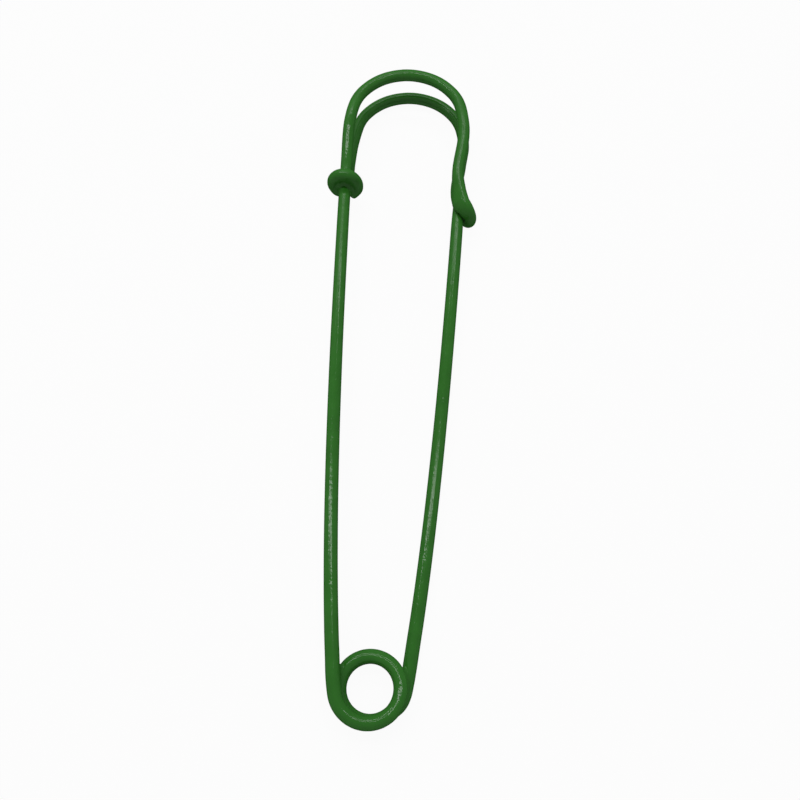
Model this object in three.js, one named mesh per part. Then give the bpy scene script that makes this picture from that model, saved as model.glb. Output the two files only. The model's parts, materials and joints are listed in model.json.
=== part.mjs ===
// A large safety pin, bent from one length of steel wire with a green coat and lying on a table.
// +Y runs from the spring coil to the head, +X is the side of the arm with the point, +Z is up.
// Sizes are in millimetres. Each mesh is one working length of the wire.

import * as THREE from "three";

// The wire
const WIRE = 2.2; // outside diameter, with its coat
const SIDES = 12; // flats round the wire
const SEAM = 0.35; // gap between two neighbouring lengths
const LEG_RING = 5.7; // from ring to ring of the wire's surface, on a leg
const ARCH_RING = 1.9; // on an arch
const BEND_RING = 0.95; // in a tight bend

// The spring coil
const COIL_RADIUS = 4.7; // centre line of the inner turn
const TURN_GAP = 0.45; // between one turn and the next
const LEG_STEP = 0.6; // how far outside the inner turn each leg leaves
const ARM_STEP_TURN = 0.1; // share of a turn in which the arm's end steps out
const SPINE_STEP_TURN = 0.55; // the same at the spine's end
const COIL_RINGS = 24; // rings of the surface in one turn
const LEG_SPLAY = 9; // degrees from the pin's axis at which each leg leaves

// The two legs, which mirror each other: the arm and the spine
const LEG_TOP = 95; // from the coil's centre to the spine's upper end
const LEG_BEND = 25; // length over which a leg gives up its splay
const LEG_POINTS = 6; // stretches between a leg's route points
const ROOT_LENGTH = 12; // of the arm beside the coil, where it flexes out of plane
const POINT_BEGIN = 12.1; // down the arm from the leg's upper end, where it begins to taper
const POINT_LENGTH = 16; // the tapered end
const POINT_RADIUS = 0.35; // of the point's rounded tip

// The head: two arched rails, one over the other
const HEAD_RADIUS = 11; // centre line of both arches
const HEAD_RISE = 10.9; // of the arches' centre past the legs' upper end
const FRONT_SHIFT = 0.1; // of the upper arch's centre toward the arm
const REAR_SHIFT = 0.55; // of the lower arch's centre toward the arm
const FRONT_HEIGHT = 7.5; // of the upper arch's centre line above the table
const ARCH_POINTS = 6; // stretches between an arch's route points
const LEG_FLARE = 0.1; // how far the spine's upper end stands outside the arch

// The catch: both rails draw in over the arm, and a U bend joins them beside it
const RAIL_GAP = 0.3; // between the arm and the rail above or below it
const CATCH_GAP = 0.2; // between the arm and the U bend that holds it
const CATCH_LIFT = 0.08; // of the U bend off the table, on which the arches and the coil rest
const CATCH_DROP = 7.1; // of the U bend's centre below the legs' upper end
const CATCH_TURN = 32; // degrees from the pin's axis to the U bend's plane
const CATCH_POINTS = 8; // stretches between the U bend's route points
const WAIST_DROP = 1.7; // below the legs' upper end, where the rails draw in the most
const WAIST_INSET = 0.55; // how far inside the arm they are there
const WAIST_RISE = 0.4; // of the front rail from the U bend to the waist
const FRONT_SHOULDER_RISE = 7.5; // past the legs' upper end, where the front rail has drawn out again
const REAR_SHOULDER_RISE = 5; // and the rear one
const FRONT_SHOULDER_OUT = 0.2; // outside the front arch's side
const REAR_SHOULDER_IN = 0.45; // inside the rear arch's side
const SHOULDER_DROP = 0.35; // of the front rail below the arch

// The wrap: the wire's cut end, wound once round the spine
const WRAP_DROP = 3.4; // below the legs' upper end
const WRAP_GAP = 0.15; // between the wrap and the spine at their sides
const WRAP_STAND = 0.55; // extra gap above and below the spine
const WRAP_START = 30; // degrees round the spine from straight below it
const WRAP_END = 335;
const WRAP_ADVANCE = 0.7; // toward the coil in one whole turn
const WRAP_POINTS = 7; // stretches between its route points
const LEAD_FROM = 6.8; // from the wrap to where the rear rail leaves its arch for it
const LEAD_TO = 3.2; // from the wrap to where that lead bends round the spine
const LEAD_INSET = 0.25; // of the lead's start inside the spine's line, and half of it at its end
const LEAD_RISE = 0.45; // of the lead's start off its arch, and as much again at its end

// Worked out from them
const RADIUS = WIRE / 2;
const REST = RADIUS * Math.cos(Math.PI / SIDES); // centre line of wire that lies on one of its flats
const PITCH = WIRE + TURN_GAP;
const TURNS = 1.5 - LEG_SPLAY / 180;
const LEG_RADIUS = COIL_RADIUS + LEG_STEP;
const SPINE_HEIGHT = REST + PITCH * TURNS;
const BEND_RADIUS = WIRE + RAIL_GAP; // of the U bend, so that the arm fits between its two sides
const HEAD_CENTRE = LEG_TOP + HEAD_RISE;
const CATCH_CENTRE = LEG_TOP - CATCH_DROP;
const WAIST = LEG_TOP - WAIST_DROP;
const WRAP = LEG_TOP - WRAP_DROP;
const ARM_HEIGHT = REST + CATCH_LIFT + BEND_RADIUS; // at the catch

const radians = THREE.MathUtils.degToRad;
const ease = (x) => THREE.MathUtils.smoothstep(x, 0, 1);
const at = (x, y, z) => new THREE.Vector3(x, y, z);

// The plan of a leg on the +X side is a parabola: its start, the corner that it bends round and its end
const splay = radians(LEG_SPLAY);
const legStart = at(LEG_RADIUS * Math.cos(splay), -LEG_RADIUS * Math.sin(splay), 0);
const legCorner = legStart.clone().add(at(LEG_BEND * Math.sin(splay), LEG_BEND * Math.cos(splay), 0));
const legEnd = at(HEAD_RADIUS + LEG_FLARE, LEG_TOP, 0);
const legPlan = new THREE.QuadraticBezierCurve3(legStart, legCorner, legEnd);

// The plan's distance from the pin's axis at a given distance from the coil's centre
function legOffset(y) {
  const rise = 2 * (legCorner.y - legStart.y);
  const change = legStart.y - 2 * legCorner.y + legEnd.y;
  const t = (2 * (y - legStart.y)) / (rise + Math.sqrt(rise ** 2 + 4 * change * (y - legStart.y)));
  return legPlan.getPoint(t).x;
}

// Route points of a leg from the coil to the head, on one side, with its height at both ends
function legRoute(side, low, high) {
  return legPlan.getPoints(LEG_POINTS).map((p) => {
    const share = (p.y - legStart.y) / (legEnd.y - legStart.y);
    return at(side * p.x, p.y, THREE.MathUtils.lerp(low, high, share));
  });
}

// The coil's centre line, from the arm (0 turns) to the spine, climbing as it turns
function coilPoint(turn) {
  const out = ease(1 - turn / ARM_STEP_TURN) + ease(1 - (TURNS - turn) / SPINE_STEP_TURN);
  const radius = COIL_RADIUS + LEG_STEP * out;
  const angle = -splay - 2 * Math.PI * turn;
  return at(radius * Math.cos(angle), radius * Math.sin(angle), REST + PITCH * turn);
}

function coilRoute() {
  const count = Math.round(TURNS * COIL_RINGS);
  return Array.from({ length: count - 1 }, (_, i) => coilPoint((TURNS * (i + 1)) / count));
}

// A half circle over the head, from one side to the other
function archRoute(shift, height, fromDegrees) {
  return Array.from({ length: ARCH_POINTS + 1 }, (_, i) => {
    const angle = radians(fromDegrees + ((180 - 2 * fromDegrees) * i) / ARCH_POINTS);
    return at(shift + HEAD_RADIUS * Math.cos(angle), HEAD_CENTRE + HEAD_RADIUS * Math.sin(angle), height);
  });
}

// The U bend beside the arm, from the front rail's waist down to the rear rail's
function bendRoute() {
  const turn = radians(CATCH_TURN);
  const outward = at(Math.sin(turn), -Math.cos(turn), 0);
  const crossbarY = CATCH_CENTRE + BEND_RADIUS * outward.y;
  const crossbarX = legOffset(crossbarY) + WIRE + CATCH_GAP;
  const centre = at(crossbarX - BEND_RADIUS * outward.x, CATCH_CENTRE, ARM_HEIGHT);
  return Array.from({ length: CATCH_POINTS + 1 }, (_, i) => {
    const angle = Math.PI / 2 - (Math.PI * i) / CATCH_POINTS;
    const point = centre.clone().addScaledVector(outward, BEND_RADIUS * Math.cos(angle));
    return point.setZ(ARM_HEIGHT + BEND_RADIUS * Math.sin(angle));
  });
}

// The rear rail comes down behind the spine and winds round it: left side, front, right side
function leadRoute() {
  return [
    at(-legOffset(WRAP + LEAD_FROM) + LEAD_INSET, WRAP + LEAD_FROM, REST + LEAD_RISE),
    at(-legOffset(WRAP + LEAD_TO) + LEAD_INSET / 2, WRAP + LEAD_TO, REST + 2 * LEAD_RISE),
  ];
}

function wrapRoute() {
  const aside = WIRE + WRAP_GAP;
  const above = aside + WRAP_STAND;
  return Array.from({ length: WRAP_POINTS + 1 }, (_, i) => {
    const degrees = THREE.MathUtils.lerp(WRAP_START, WRAP_END, i / WRAP_POINTS);
    const angle = radians(degrees);
    const y = WRAP + WRAP_ADVANCE * (0.5 - degrees / 360);
    return at(-legOffset(WRAP) - aside * Math.sin(angle), y, SPINE_HEIGHT - above * Math.cos(angle));
  });
}

// The whole wire is one smooth curve from the arm's upper end to its cut end.
// ends holds the route point at which each length of it stops.
const route = [];
const ends = {};
function lay(name, ...points) {
  route.push(...points);
  ends[name] = route.length - 1;
}
const spinePoints = legRoute(-1, SPINE_HEIGHT, SPINE_HEIGHT);
const waist = legOffset(WAIST) - WAIST_INSET;
const frontSide = FRONT_SHIFT + HEAD_RADIUS + FRONT_SHOULDER_OUT;
const rearSide = REAR_SHIFT + HEAD_RADIUS - REAR_SHOULDER_IN;
lay("arm", ...legRoute(1, REST, ARM_HEIGHT).reverse());
lay("spring_coil", ...coilRoute(), spinePoints[0]);
lay("spine_leg", ...spinePoints.slice(1));
lay(
  "front_rail",
  ...archRoute(FRONT_SHIFT, FRONT_HEIGHT, 180),
  at(frontSide, LEG_TOP + FRONT_SHOULDER_RISE, FRONT_HEIGHT - SHOULDER_DROP),
  at(waist, WAIST, ARM_HEIGHT + BEND_RADIUS + WAIST_RISE),
);
lay("catch_hook", ...bendRoute(), at(waist, WAIST, REST));
lay(
  "rear_rail",
  at(rearSide, LEG_TOP + REAR_SHOULDER_RISE, REST),
  ...archRoute(REAR_SHIFT, REST, 0),
  ...leadRoute(),
);
lay("collar_wrap", ...wrapRoute());

const LENGTH_SAMPLES = 24; // between two route points
const wire = new THREE.CatmullRomCurve3(route, false, "centripetal");
wire.arcLengthDivisions = LENGTH_SAMPLES * (route.length - 1);
const lengths = wire.getLengths();
const lengthAt = (name) => lengths[LENGTH_SAMPLES * ends[name]];

// The part of the wire between two distances along it
class Stretch extends THREE.Curve {
  constructor(start, end) {
    super();
    this.start = start;
    this.end = end;
  }

  getPoint(t, target = new THREE.Vector3()) {
    const along = THREE.MathUtils.lerp(this.start, this.end, t);
    return wire.getPointAt(along / lengths.at(-1), target);
  }
}

// The wire's section has a flat at each quarter, so that straight and arched lengths lie on a flat
const section = new THREE.Shape(
  Array.from({ length: SIDES }, (_, i) => {
    const angle = ((i + 0.5) * 2 * Math.PI) / SIDES;
    return new THREE.Vector2(RADIUS * Math.cos(angle), RADIUS * Math.sin(angle));
  }),
);

const coat = new THREE.MeshStandardMaterial({ color: 0x2f6427, roughness: 0.4, metalness: 0.0 });
const pin = new THREE.Group();

function addPiece(name, geometry) {
  const mesh = new THREE.Mesh(geometry, coat.clone());
  mesh.name = name;
  pin.add(mesh);
  return mesh;
}

// One length of the wire, half a seam short at both ends
function addLength(name, start, end, ring) {
  const extrudePath = new Stretch(start + SEAM / 2, end - SEAM / 2);
  const steps = Math.ceil((end - start) / ring);
  addPiece(name, new THREE.ExtrudeGeometry(section, { steps, extrudePath, bevelEnabled: false }));
}

const armEnd = lengthAt("arm");
const pivot = armEnd - ROOT_LENGTH;
addLength("pin_arm", POINT_BEGIN, pivot, LEG_RING);
addLength("arm_root", pivot, armEnd, ARCH_RING);
const rings = {
  spring_coil: (2 * Math.PI * COIL_RADIUS) / COIL_RINGS,
  spine_leg: LEG_RING,
  front_rail: ARCH_RING,
  catch_hook: BEND_RING,
  rear_rail: ARCH_RING,
  collar_wrap: BEND_RING,
};
let start = armEnd;
for (const [name, ring] of Object.entries(rings)) {
  addLength(name, start, lengthAt(name), ring);
  start = lengthAt(name);
}

// The point: turned about its own axis, tapering faster toward the tip
const POINT_RINGS = 6;
const taper = Array.from({ length: POINT_RINGS + 1 }, (_, i) => {
  const share = i / POINT_RINGS;
  const radius = POINT_RADIUS + (RADIUS - POINT_RADIUS) * (1 - share ** 2);
  return new THREE.Vector2(radius, share * (POINT_LENGTH - POINT_RADIUS));
});
const profile = [new THREE.Vector2(0, 0), ...taper, new THREE.Vector2(0, POINT_LENGTH)];
const point = addPiece("pin_point", new THREE.LatheGeometry(profile, SIDES));
const towardTip = wire.getTangentAt(POINT_BEGIN / lengths.at(-1)).negate();
point.quaternion.setFromUnitVectors(at(0, 1, 0), towardTip);
point.position.copy(wire.getPointAt(POINT_BEGIN / lengths.at(-1))).addScaledVector(towardTip, SEAM / 2);

// The origin is under the middle of the whole pin, on the table
const box = new THREE.Box3().setFromObject(pin, true);
const middle = box.getCenter(at(0, 0, 0));
pin.position.set(-middle.x, -middle.y, -box.min.z);

// The least gap between two parts of the coil that are more than half a turn apart, measured on points
const GAP_SAMPLES = 400;
const coilPoints = new Stretch(armEnd, lengthAt("spring_coil")).getPoints(GAP_SAMPLES);
const halfTurn = Math.ceil(GAP_SAMPLES / TURNS / 2);
let leastGap = Infinity;
for (let i = 0; i <= GAP_SAMPLES; i++) {
  for (let j = i + halfTurn; j <= GAP_SAMPLES; j++) {
    leastGap = Math.min(leastGap, coilPoints[i].distanceTo(coilPoints[j]) - WIRE);
  }
}
console.log("least gap between the coil's turns", leastGap.toFixed(2), "mm");

// Where the joints are, in the part's own frame
const place = (p) => p.clone().add(pin.position).toArray().map((x) => x.toFixed(3)).join(" ");
const pivotPoint = wire.getPointAt(pivot / lengths.at(-1));
const tip = point.position.clone().addScaledVector(towardTip, POINT_LENGTH);
console.log("size", box.getSize(at(0, 0, 0)).toArray().map((x) => x.toFixed(2)).join(" "));
console.log("coil's axis", place(at(0, 0, 0)), "arm's pivot", place(pivotPoint), "tip", place(tip));

export default pin;
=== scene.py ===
# %% [markdown]
# # A green safety pin
# This is a large safety pin without any sheet metal: one length of springy steel wire makes the point, the
# arm, the spring coil, the spine, both rails of the head, the catch and the wrap that ties the wire to
# itself. The whole wire then got a dark green coat. The CAD model gives every length of the wire as a
# faceted solid. Here each one gets its round, smooth wire and its finish, and stays exactly where the CAD
# has it.

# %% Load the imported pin
import json
import math

import bmesh
import bpy
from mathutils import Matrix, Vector

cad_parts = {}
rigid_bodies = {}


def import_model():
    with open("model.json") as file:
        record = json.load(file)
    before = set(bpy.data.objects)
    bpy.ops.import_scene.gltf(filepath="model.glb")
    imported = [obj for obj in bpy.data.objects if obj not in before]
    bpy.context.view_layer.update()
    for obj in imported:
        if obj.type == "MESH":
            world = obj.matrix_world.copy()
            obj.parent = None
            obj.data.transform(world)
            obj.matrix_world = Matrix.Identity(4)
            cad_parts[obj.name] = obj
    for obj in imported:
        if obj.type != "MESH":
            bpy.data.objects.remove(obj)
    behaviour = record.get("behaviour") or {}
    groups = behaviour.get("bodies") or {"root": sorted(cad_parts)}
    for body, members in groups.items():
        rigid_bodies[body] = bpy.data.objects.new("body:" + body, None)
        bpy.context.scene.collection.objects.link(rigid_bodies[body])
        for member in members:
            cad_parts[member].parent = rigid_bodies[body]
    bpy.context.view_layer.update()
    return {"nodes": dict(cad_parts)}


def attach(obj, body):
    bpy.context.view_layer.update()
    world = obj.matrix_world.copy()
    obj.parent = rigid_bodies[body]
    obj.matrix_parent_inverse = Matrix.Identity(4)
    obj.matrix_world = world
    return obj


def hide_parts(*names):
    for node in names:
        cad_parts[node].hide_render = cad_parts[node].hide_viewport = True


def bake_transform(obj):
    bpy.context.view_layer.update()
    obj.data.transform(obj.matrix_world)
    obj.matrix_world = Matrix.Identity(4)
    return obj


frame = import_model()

MM = 0.001  # Blender works in metres

# %% [markdown]
# ## Where the wire runs
# A wire is drawn in Blender as a curve with a round bevel, so all that is needed is the wire's centre line.
# It could be typed in again, but then it could drift away from the solids. It is safer to read it off them:
# each solid is a stack of rings with twelve corners, and the middle of a ring lies on the centre line.
# Starting from one end, the next ring is always the set of neighbours that were not visited yet.

# %% Read the rings of one solid
MERGE = 0.001 * MM  # the solids come as loose triangles, whose shared corners are merged first
SAME_DISTANCE = 0.05 * MM  # corners of one ring are about equally far from a point on the centre line


def read_rings(node, near=None):
    """The middle and the radius of each ring of a solid, from the end nearest to a point."""
    solid = bmesh.new()
    solid.from_mesh(frame["nodes"][node].data)
    bmesh.ops.remove_doubles(solid, verts=solid.verts, dist=MERGE)
    if near is None:
        near = max(solid.verts, key=lambda corner: corner.co.y).co.copy()
    nearest = min((corner.co - near).length for corner in solid.verts)
    ring = {corner for corner in solid.verts if (corner.co - near).length < nearest + SAME_DISTANCE}
    seen = set()
    rings = []
    while ring:
        # A set has no fixed order, and the last digits of a sum change with the order.
        corners = sorted(ring, key=lambda corner: tuple(corner.co))
        middle = sum((corner.co for corner in corners), Vector()) / len(corners)
        rings.append((middle, max((corner.co - middle).length for corner in corners)))
        seen |= ring
        ring = {edge.other_vert(corner) for corner in ring for edge in corner.link_edges} - seen
    solid.free()
    return rings


# %% Read the whole wire, from its point to its cut end
LENGTHS = [
    "pin_point",
    "pin_arm",
    "arm_root",
    "spring_coil",
    "spine_leg",
    "front_rail",
    "catch_hook",
    "rear_rail",
    "collar_wrap",
]
rings = {}
last = None
for name in LENGTHS:
    rings[name] = read_rings(name, last)
    # The middle of a flat end comes as a ring without a radius, and is no station.
    rings[name] = [(middle, radius) for middle, radius in rings[name] if radius > 0]
    last = rings[name][-1][0]
solid_radius = rings["pin_arm"][0][1]
COAT_DEPTH = 0.03 * MM  # how far the coat stands over the corners of the solids
wire_radius = solid_radius + COAT_DEPTH
print("coated wire diameter in mm:", round(2 * wire_radius / MM, 3))
print("rings:", {name: len(found) for name, found in rings.items()})

# %% [markdown]
# The solids keep a narrow seam between them, which the real wire doesn't have. So a length of wire runs
# from the middle of one seam to the middle of the next, and two neighbours share that point and its
# direction. One guide curve through all the points settles the direction at each of them.

# %% Draw the guide curve
stations = []  # every point of the wire: where it is, and the wire's radius there
spans = {}  # the first and last station of each length
for name, following in zip(LENGTHS, LENGTHS[1:] + [None]):
    points = list(rings[name])
    first = max(len(stations) - 1, 0)
    if following:
        seam = (points[-1][0] + rings[following][0][0]) / 2
        points = points[:-1] + [(seam, points[-1][1])]
    stations += points if first == 0 else points[1:]
    spans[name] = (first, len(stations) - 1)

bpy.ops.object.select_all(action="DESELECT")
bpy.ops.curve.primitive_bezier_curve_add()
guide = bpy.context.object
guide.data.splines.clear()
guide_points = guide.data.splines.new("BEZIER").bezier_points
guide_points.add(len(stations) - 1)
for point, (place, radius) in zip(guide_points, stations):
    point.co = place
    point.radius = radius / solid_radius
    point.handle_left_type = point.handle_right_type = "AUTO"
guide.data.splines.update()
bpy.context.view_layer.update()
print("stations on the wire:", len(stations))

# %% [markdown]
# ## Round wire
# Each length is its own curve, with its stretch of the guide's points and handles, a round bevel and closed
# ends. Converted to a mesh, it is a smooth tube that meets its neighbour ring to ring.

# %% Make one length of wire
BEVEL_STEPS = 14  # gives 32 corners round the wire
SMOOTH_ANGLE = math.radians(40)


def make_wire(name, steps):
    """One length of the wire as a mesh, with so many rings between two stations."""
    first, last = spans[name]
    bpy.ops.object.select_all(action="DESELECT")
    bpy.ops.curve.primitive_bezier_curve_add()
    wire = bpy.context.object
    wire.name = "coated_" + name
    curve = wire.data
    curve.splines.clear()
    spline = curve.splines.new("BEZIER")
    spline.bezier_points.add(last - first)
    for point, source in zip(spline.bezier_points, guide_points[first : last + 1]):
        point.handle_left_type = point.handle_right_type = "FREE"
        point.co = source.co
        point.handle_left = source.handle_left
        point.handle_right = source.handle_right
        point.radius = source.radius
    spline.resolution_u = steps
    curve.dimensions = "3D"
    curve.bevel_depth = wire_radius
    curve.bevel_resolution = BEVEL_STEPS
    curve.use_fill_caps = True
    bpy.ops.object.convert(target="MESH")
    bpy.ops.object.mode_set(mode="EDIT")
    bpy.ops.mesh.select_all(action="SELECT")
    bpy.ops.mesh.remove_doubles(threshold=MERGE)
    bpy.ops.mesh.normals_make_consistent(inside=False)
    bpy.ops.object.mode_set(mode="OBJECT")
    bpy.ops.object.shade_smooth_by_angle(angle=SMOOTH_ANGLE)
    print(wire.name, len(wire.data.polygons), "faces")
    return wire


# %% Make all the lengths
STEPS = {"pin_point": 6, "pin_arm": 8, "spine_leg": 8, "catch_hook": 4, "collar_wrap": 4}
USUAL_STEPS = 6
wires = {name: make_wire(name, STEPS.get(name, USUAL_STEPS)) for name in LENGTHS}
bpy.data.objects.remove(guide)

# %% [markdown]
# ## The two free ends
# The point and the cut end are flat discs so far. The coat rounds the rim of the cut end a little, and the
# point is ground to a small round tip, so each rim gets a bevel.

# %% Round the rim of an end
RIM_STEPS = 5


def round_rim(wire, place, reach, width):
    """Bevels the sharp edges of a wire within reach of a place."""
    bpy.ops.object.select_all(action="DESELECT")
    wire.select_set(True)
    bpy.context.view_layer.objects.active = wire
    bpy.ops.object.mode_set(mode="EDIT")
    bpy.ops.mesh.select_mode(type="EDGE")
    bpy.ops.mesh.select_all(action="DESELECT")
    shape = bmesh.from_edit_mesh(wire.data)
    for edge in shape.edges:
        middle = (edge.verts[0].co + edge.verts[1].co) / 2
        sharp = edge.is_manifold and edge.calc_face_angle() > SMOOTH_ANGLE
        edge.select_set(sharp and (middle - place).length < reach)
    chosen = sum(edge.select for edge in shape.edges)
    bmesh.update_edit_mesh(wire.data)
    bpy.ops.mesh.bevel(offset=width, segments=RIM_STEPS)
    bpy.ops.object.mode_set(mode="OBJECT")
    bpy.ops.object.shade_smooth_by_angle(angle=SMOOTH_ANGLE)
    print(wire.name, "rim of", chosen, "edges")


TIP_RIM = 0.28 * MM
CUT_RIM = 0.6 * MM
round_rim(wires["pin_point"], stations[0][0], wire_radius, TIP_RIM)
round_rim(wires["collar_wrap"], stations[-1][0], 2 * wire_radius, CUT_RIM)

# %% [markdown]
# ## The finger of the catch
# The front wire of the catch doesn't stay round. Where it crosses over the arm, it was pressed into a flat
# finger about twice as wide as the wire: its right side is still round, and to the left it runs out in a
# smooth, sloping face. A curve's bevel can't change its form on the way, so the corners of the tube are
# moved in code. Each one keeps its place along the wire. Those on the left move outwards and down, and the
# whole finger moves a hair to the left, by amounts that grow and fade along it.

# %% Describe the finger, from the head side to its tip
FINGER_DOWN = (38.0, 36.6, 35.4, 34.4, 33.4, 32.4, 31.5, 30.8, 30.2, 29.9)  # places along the part, in mm
FINGER_WIDE = (1.0, 1.08, 1.26, 1.46, 1.74, 1.92, 1.95, 1.75, 1.45, 1.15)  # left side, in wire radii
FINGER_SLOPE = (0.0, 0.1, 0.24, 0.3, 0.3, 0.3, 0.3, 0.25, 0.1, 0.0)  # how steeply the face falls to the left
FINGER_SHIFT = (0.0, 0.0, 0.0, 0.06, 0.1, 0.14, 0.18, 0.14, 0.06, 0.0)  # to the left, in mm
FACE_SIDE = Vector((0.03, -0.6, 0.8)).normalized()  # what the flat face looks at, before it slopes
BACK_OF_BEND = 3.6 * MM  # below this height the wire is round again
BEND_FADE = 1 * MM  # over this height the flat form fades into the round one
SEARCH_MARGIN = 1 * MM  # corners this far beyond the finger are still looked at
RAIL_STATIONS = 6  # so many stations of the front rail lead into the finger


def along_finger(place, values):
    """The value of a list at a place along the part, on a straight line between its entries."""
    if place >= FINGER_DOWN[0]:
        return values[0]
    for k in range(1, len(FINGER_DOWN)):
        if place >= FINGER_DOWN[k]:
            share = (FINGER_DOWN[k - 1] - place) / (FINGER_DOWN[k - 1] - FINGER_DOWN[k])
            return values[k - 1] + (values[k] - values[k - 1]) * share
    return values[-1]


print("finger length in mm:", round(FINGER_DOWN[0] - FINGER_DOWN[-1], 1))

# %% Press the finger flat
def centre_near(path, corner):
    """The point of a path that is nearest to a corner, and the path's direction there."""
    nearest = None
    for start, end in zip(path, path[1:]):
        step = end - start
        share = min(max((corner - start).dot(step) / step.length_squared, 0), 1)
        point = start + step * share
        distance = (corner - point).length
        if nearest is None or distance < nearest[0]:
            nearest = (distance, point, step.normalized())
    return nearest[1], nearest[2]


def press_finger(wire, path):
    """Moves the corners of a wire that lie on the finger."""
    moved = 0
    for vertex in wire.data.vertices:
        if vertex.co.y > FINGER_DOWN[0] * MM + SEARCH_MARGIN or vertex.co.z < BACK_OF_BEND - wire_radius:
            continue
        centre, direction = centre_near(path, vertex.co)
        if centre.y / MM > FINGER_DOWN[0]:
            continue
        up = (FACE_SIDE - direction * FACE_SIDE.dot(direction)).normalized()
        right = up.cross(direction) if up.cross(direction).x > 0 else direction.cross(up)
        out = vertex.co - centre
        side, height, rest = out.dot(right), out.dot(up), out.dot(direction)
        fade = min(max((centre.z - BACK_OF_BEND) / BEND_FADE, 0), 1)
        down = centre.y / MM
        if side < 0:
            wide = 1 + (along_finger(down, FINGER_WIDE) - 1) * fade
            side *= wide
            height += along_finger(down, FINGER_SLOPE) * fade * side
        shift = along_finger(down, FINGER_SHIFT) * fade * MM
        vertex.co = centre + right * side + up * height + direction * rest - Vector((shift, 0, 0))
        moved += 1
    wire.data.update()
    print(wire.name, moved, "corners moved")


finger_path = [place for place, radius in rings["front_rail"][-RAIL_STATIONS:] + rings["catch_hook"]]
for name in ["front_rail", "catch_hook"]:
    press_finger(wires[name], finger_path)

# %% [markdown]
# ## Coat in the narrow gaps
# Where two lengths of the wire come within about a millimetre of each other, the coat ran together between
# them: round the wrap it fills the slits beside the spine, above the wrap it joins the two rails, and in
# the coil it fills the grooves between the turns. Such a fillet can be made from the wires themselves.
# Copies of them are joined and thickened until the gaps close, remeshed into one skin, and thinned again by
# the same amount. The skin is back on the wires then, except where a gap had closed, and it is left a hair
# thinner, so that it shows in those places only. A small pocket can stay open between two thickened wires.
# Thinning would make it larger, until it comes out through the skin as a stub, so its walls are deleted
# first.

# %% Helpers for the fillets
def apply_modifier(piece, kind, **settings):
    """Adds a modifier to a piece and applies it at once."""
    modifier = piece.modifiers.new(kind.title(), kind)
    for entry, value in settings.items():
        setattr(modifier, entry, value)
    bpy.ops.object.modifier_apply(modifier=modifier.name)


def keep_outer_skin(piece):
    """Deletes the walls of pockets that lie inside, cut off from the skin that reaches highest."""
    bpy.ops.object.mode_set(mode="EDIT")
    bpy.ops.mesh.select_mode(type="VERT")
    bpy.ops.mesh.select_all(action="DESELECT")
    skin = bmesh.from_edit_mesh(piece.data)
    before = len(skin.verts)
    max(skin.verts, key=lambda corner: corner.co.z).select_set(True)
    skin.select_flush(True)
    bmesh.update_edit_mesh(piece.data)
    bpy.ops.mesh.select_linked()
    bpy.ops.mesh.select_all(action="INVERT")
    bpy.ops.mesh.delete(type="VERT")
    bpy.ops.object.mode_set(mode="OBJECT")
    print(piece.name, before - len(piece.data.vertices), "corners of inner pockets deleted")


# %% Make a fillet from the wires in a box
FILLET_VOXEL = 0.11 * MM
FILLET_SINK = 0.03 * MM  # how much thinner than the wires the skin is left
FILLET_SMOOTHING = 4  # passes that take the steps of the voxels away


def make_fillet(name, sources, low, high, reach):
    """One closed skin round the wires inside a box, where gaps up to twice the reach are filled."""
    bpy.ops.object.select_all(action="DESELECT")
    for source in sources:
        copy = wires[source].copy()
        copy.data = wires[source].data.copy()
        bpy.context.collection.objects.link(copy)
        copy.select_set(True)
        bpy.context.view_layer.objects.active = copy
    bpy.ops.object.join()
    fillet = bpy.context.object
    fillet.name = name
    bpy.ops.object.mode_set(mode="EDIT")
    for axis in range(3):
        for corner, keep_above in ((low, True), (high, False)):
            normal = [0, 0, 0]
            normal[axis] = 1
            bpy.ops.mesh.select_all(action="SELECT")
            bpy.ops.mesh.bisect(
                plane_co=[value * MM for value in corner],
                plane_no=normal,
                use_fill=True,
                clear_inner=keep_above,
                clear_outer=not keep_above,
            )
    bpy.ops.object.mode_set(mode="OBJECT")
    apply_modifier(fillet, "REMESH", mode="VOXEL", voxel_size=FILLET_VOXEL)
    apply_modifier(fillet, "DISPLACE", strength=reach, mid_level=0)
    apply_modifier(fillet, "REMESH", mode="VOXEL", voxel_size=FILLET_VOXEL)
    keep_outer_skin(fillet)
    apply_modifier(fillet, "DISPLACE", strength=-reach - FILLET_SINK, mid_level=0)
    apply_modifier(fillet, "REMESH", mode="VOXEL", voxel_size=FILLET_VOXEL)
    apply_modifier(fillet, "SMOOTH", iterations=FILLET_SMOOTHING)
    bpy.ops.object.shade_smooth()
    print(name, len(fillet.data.polygons), "faces")
    return fillet


# %% Fill the wrap and the coil
WRAP_BOX = {"low": (-15, 33.5, -1), "high": (-7, 44, 10)}  # corners in mm
COIL_BOX = {"low": (-9, -63, -1), "high": (9, -46, 8)}
WRAP_REACH = 0.55 * MM
COIL_REACH = 0.5 * MM
wrap_wires = ["spine_leg", "front_rail", "rear_rail", "collar_wrap"]
coil_wires = ["arm_root", "spring_coil", "spine_leg"]
fillets = {
    "wrap": make_fillet("coat_round_wrap", wrap_wires, **WRAP_BOX, reach=WRAP_REACH),
    "coil": make_fillet("coat_in_coil", coil_wires, **COIL_BOX, reach=COIL_REACH),
}

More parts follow.
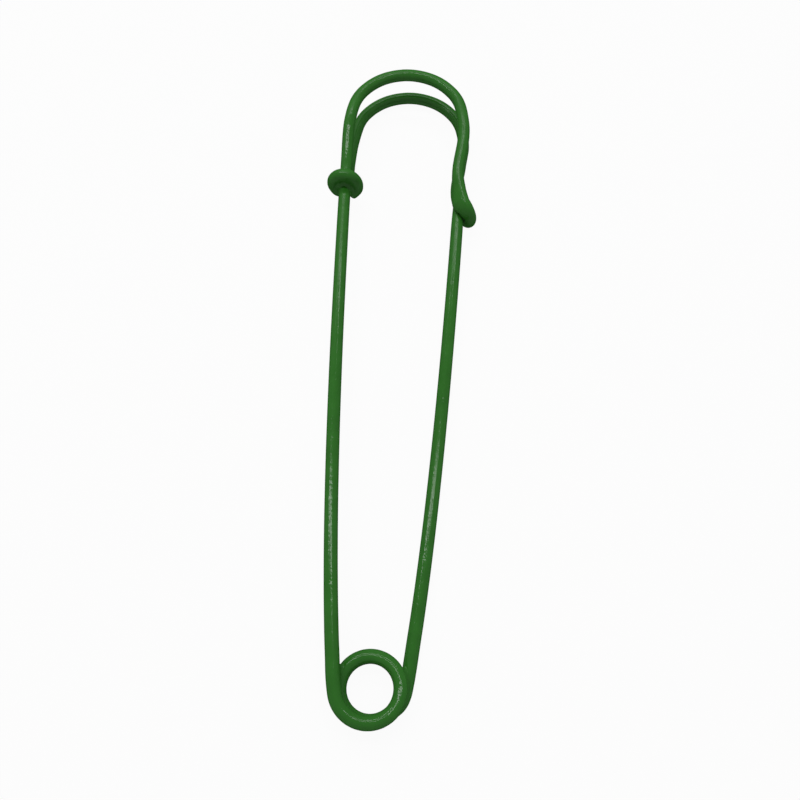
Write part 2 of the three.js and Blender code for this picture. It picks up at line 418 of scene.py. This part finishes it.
# %% [markdown]
# ## The green coat
# The coat is a dark green powder coat. It is opaque, with a thin satin skin, and it dried with a fine
# orange peel, which breaks the light on the wire into small streaks. The same colour all over would look
# like plastic, so there are three layers of noise: pale and dark patches of a few millimetres, the orange
# peel as a bump, and a fine grain in the bump and in the roughness. All of it reads Object coordinates, so
# the pattern runs on over the seams. The bumps are very low. Steeper ones spread the shine of a lamp along
# the whole leg, where the photograph has it on a short stretch.
#
# The skin also gets rougher where the wire turns away from the eye. A smooth rim would mirror the white
# room, and a pale line would show along every edge, which a satin coat doesn't have.

# %% Helpers for the materials
def link(tree, source, output, target, entry):
    """Joins an output of one node to an input of another."""
    tree.links.new(source.outputs[output], target.inputs[entry])


def noise(tree, place, scale, detail=0):
    """A noise that is fixed to the piece, with so many finer layers."""
    node = tree.nodes.new("ShaderNodeTexNoise")
    node.inputs["Scale"].default_value = scale
    node.inputs["Detail"].default_value = detail
    link(tree, place, "Object", node, "Vector")
    return node


def spread(tree, source, output, low, high, start=0.3, end=0.7):
    """The output of a node, stretched from start and end to low and high. Noise is mostly at 0.3 to 0.7."""
    node = tree.nodes.new("ShaderNodeMapRange")
    node.inputs["From Min"].default_value = start
    node.inputs["From Max"].default_value = end
    node.inputs["To Min"].default_value = low
    node.inputs["To Max"].default_value = high
    link(tree, source, output, node, "Value")
    return node


# %% Mix the coat
COAT_GREEN = (0.0195, 0.121, 0.0105, 1)
COAT_GREEN_THIN = (0.0155, 0.102, 0.0080, 1)
SKIN_GLOSS = 0.13  # of the shader's usual 0.5, because the coat is satin
SKIN_ROUGHNESS = (0.06, 0.14)
SIDE_ROUGHNESS = 0.85  # how much rougher a side is that turns away from the eye
TURNING_AWAY = (0.12, 0.55)  # from nearly straight on to well turned away
PATCH_SCALE = 330  # patches of about 3 mm
PATCH_DETAIL = 3
PEEL_SCALE = 1300  # bumps of about 0.8 mm
GRAIN_SCALE = 3200  # and a grain of about 0.3 mm on them
PEEL_HEIGHT = 0.015 * MM
GRAIN_HEIGHT = 0.012 * MM


def green_coat():
    """The satin coat, with patches in its colour, an orange peel and a grain."""
    material = bpy.data.materials.new("green_coat")
    material.use_nodes = True
    tree = material.node_tree
    shader = tree.nodes["Principled BSDF"]
    shader.inputs["Specular IOR Level"].default_value = SKIN_GLOSS
    place = tree.nodes.new("ShaderNodeTexCoord")

    patches = noise(tree, place, PATCH_SCALE, PATCH_DETAIL)
    colour = tree.nodes.new("ShaderNodeMix")
    colour.data_type = "RGBA"
    colour.inputs["A"].default_value = COAT_GREEN_THIN
    colour.inputs["B"].default_value = COAT_GREEN
    link(tree, spread(tree, patches, "Fac", low=0, high=1), "Result", colour, "Factor")
    link(tree, colour, "Result", shader, "Base Color")

    grain = noise(tree, place, GRAIN_SCALE)
    turned = tree.nodes.new("ShaderNodeLayerWeight")
    roughness = tree.nodes.new("ShaderNodeMath")
    roughness.use_clamp = True
    link(tree, spread(tree, grain, "Fac", *SKIN_ROUGHNESS), "Result", roughness, 0)
    link(tree, spread(tree, turned, "Facing", 0, SIDE_ROUGHNESS, *TURNING_AWAY), "Result", roughness, 1)
    link(tree, roughness, 0, shader, "Roughness")

    peel = noise(tree, place, PEEL_SCALE)
    waves = tree.nodes.new("ShaderNodeBump")
    waves.inputs["Distance"].default_value = PEEL_HEIGHT
    link(tree, peel, "Fac", waves, "Height")
    bumps = tree.nodes.new("ShaderNodeBump")
    bumps.inputs["Distance"].default_value = GRAIN_HEIGHT
    link(tree, grain, "Fac", bumps, "Height")
    link(tree, waves, "Normal", bumps, "Normal")
    link(tree, bumps, "Normal", shader, "Normal")
    return material


# %% Coat the wires and the fillets
coat = green_coat()
for piece in [*wires.values(), *fillets.values()]:
    piece.data.materials.clear()
    piece.data.materials.append(coat)
print("coat on", len(wires), "lengths of wire and", len(fillets), "fillets")

# %% [markdown]
# ## What moves with what
# Only the arm moves. The coil twists as the arm swings, so its lower turn goes with the arm and its upper
# turn stays with the spine. The arm itself bends a little near the coil, to let the point out of the catch.
# Here the coil, its fillet and the arm near it get no body, and their places are baked into their meshes.
# Each of the other pieces rides on one body.

# %% Replace the solids, and ride on a body
for name, wire in wires.items():
    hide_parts(name)
for name in ["spine_leg", "front_rail", "catch_hook", "rear_rail", "collar_wrap"]:
    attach(wires[name], "frame")
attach(wires["pin_point"], "arm")
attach(fillets["wrap"], "frame")
print("replaced solids:", len(wires))

# %% Bake the coil's place into its mesh
for piece in [wires["spring_coil"], fillets["coil"]]:
    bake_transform(piece)

# %% Bake the arm's place into its mesh
for name in ["arm_root", "pin_arm"]:
    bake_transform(wires[name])

# %% [markdown]
# ## Table, light and camera
# The photograph has a plain white ground. The table is a white plane that shows as white where the camera
# or a reflection sees it, and otherwise takes and returns light as a pale table does.

# %% Mix the white of the table
TABLE_GREY = (0.5, 0.5, 0.5, 1)
SHOWN_WHITE = 0.95  # share of plain white over the lit table


def seen_directly(tree):
    """One where the camera, a reflection or a refraction looks, and zero for light that falls on things."""
    path = tree.nodes.new("ShaderNodeLightPath")
    either = tree.nodes.new("ShaderNodeMath")
    either.operation = "MAXIMUM"
    link(tree, path, "Is Camera Ray", either, 0)
    link(tree, path, "Is Glossy Ray", either, 1)
    any_of = tree.nodes.new("ShaderNodeMath")
    any_of.operation = "MAXIMUM"
    link(tree, either, 0, any_of, 0)
    link(tree, path, "Is Transmission Ray", any_of, 1)
    return any_of


def table_white():
    """White where the camera or a reflection sees it, and a pale table for the light that falls on it."""
    material = bpy.data.materials.new("table_white")
    material.use_nodes = True
    tree = material.node_tree
    tree.nodes.clear()
    paint = tree.nodes.new("ShaderNodeBsdfDiffuse")
    paint.inputs["Color"].default_value = TABLE_GREY
    glow = tree.nodes.new("ShaderNodeEmission")
    mix = tree.nodes.new("ShaderNodeMixShader")
    shown = spread(tree, seen_directly(tree), 0, low=0, high=SHOWN_WHITE, start=0, end=1)
    link(tree, shown, "Result", mix, 0)
    link(tree, paint, 0, mix, 1)
    link(tree, glow, 0, mix, 2)
    link(tree, mix, 0, tree.nodes.new("ShaderNodeOutputMaterial"), "Surface")
    return material


# %% Lay the table
TABLE_SIZE = 4.0
TABLE_DROP = 0.08 * MM  # the round wire reaches a hair below the solids' flats

bpy.ops.object.select_all(action="DESELECT")
bpy.ops.mesh.primitive_plane_add(size=TABLE_SIZE, location=(0, 0, -TABLE_DROP))
table = bpy.context.object
table.name = "table"
table.data.materials.append(table_white())
print("table:", TABLE_SIZE, "m wide,", round(TABLE_DROP / MM, 2), "mm below the CAD model")

# %% [markdown]
# The room is even, and it shows as white. The photograph has two bright stretches on each leg, one below
# the head and one above the coil. A straight wire mirrors a lamp to the camera only where both stand at the
# same angle to it, so each stretch belongs to a lamp of its own, and its place tells where the lamp hung.
# The stretches are short and a third of the wire wide, so both lamps are strips that lie across the pin.
# They run a little slantwise over the wire, so each strip is turned by a few degrees. Together with the
# room the strips light a level surface about as brightly as it is painted.

# %% Light the room
ROOM_GREY = 0.43

world = bpy.data.worlds.new("pale_room")
bpy.context.scene.world = world
world.use_nodes = True
room = world.node_tree
room.nodes["Background"].inputs["Color"].default_value = (1, 1, 1, 1)
shown = spread(room, seen_directly(room), 0, low=ROOM_GREY, high=1, start=0, end=1)
link(room, shown, "Result", room.nodes["Background"], "Strength")
print("room light:", ROOM_GREY)

# %% Hang the strips
def hang_strip(name, place, turn, wide, deep, watts):
    """A strip lamp that lies across the pin, turned by a few degrees, and faces it."""
    bpy.ops.object.light_add(type="AREA", location=place)
    lamp = bpy.context.object
    lamp.name = name
    lamp.data.shape = "RECTANGLE"
    lamp.data.size = wide
    lamp.data.size_y = deep
    lamp.data.energy = watts
    lamp.rotation_euler = (-math.atan2(place[1], place[2]), 0, math.radians(turn))
    print(name, watts, "W")


hang_strip("near_strip", (-0.12, 0.138, 0.6), turn=-3, wide=0.7, deep=0.05, watts=1.95)
hang_strip("far_strip", (-0.12, 0.43, 0.6), turn=-9, wide=0.7, deep=0.06, watts=2.0)

# %% [markdown]
# The camera stands close over the pin and a little toward the coil, so the near coil looks larger than the
# head, and the head's upper rail moves up in the picture from the lower one. Its place was worked out from
# those two effects.

# %% Place the camera
CAMERA_TARGET = Vector((1.95, -6.65, 0.03)) * MM
CAMERA_DISTANCE = 154.6 * MM
CAMERA_TILT = math.radians(23.3)  # from straight down
CAMERA_YAW = math.radians(3.18)
CAMERA_LENS = 39.15  # in mm, as is the sensor
SENSOR = 36
NEAREST_SEEN = 10 * MM

bpy.ops.object.camera_add(rotation=(CAMERA_TILT, 0, CAMERA_YAW))
camera = bpy.context.object
camera.name = "camera"
camera.data.sensor_width = SENSOR
camera.data.lens = CAMERA_LENS
camera.data.clip_start = NEAREST_SEEN
backward = camera.rotation_euler.to_matrix() @ Vector((0, 0, 1))
camera.location = CAMERA_TARGET + CAMERA_DISTANCE * backward
bpy.context.scene.camera = camera
bpy.context.scene.view_settings.view_transform = "Standard"
print("camera at, in mm:", [round(value / MM, 1) for value in camera.location])
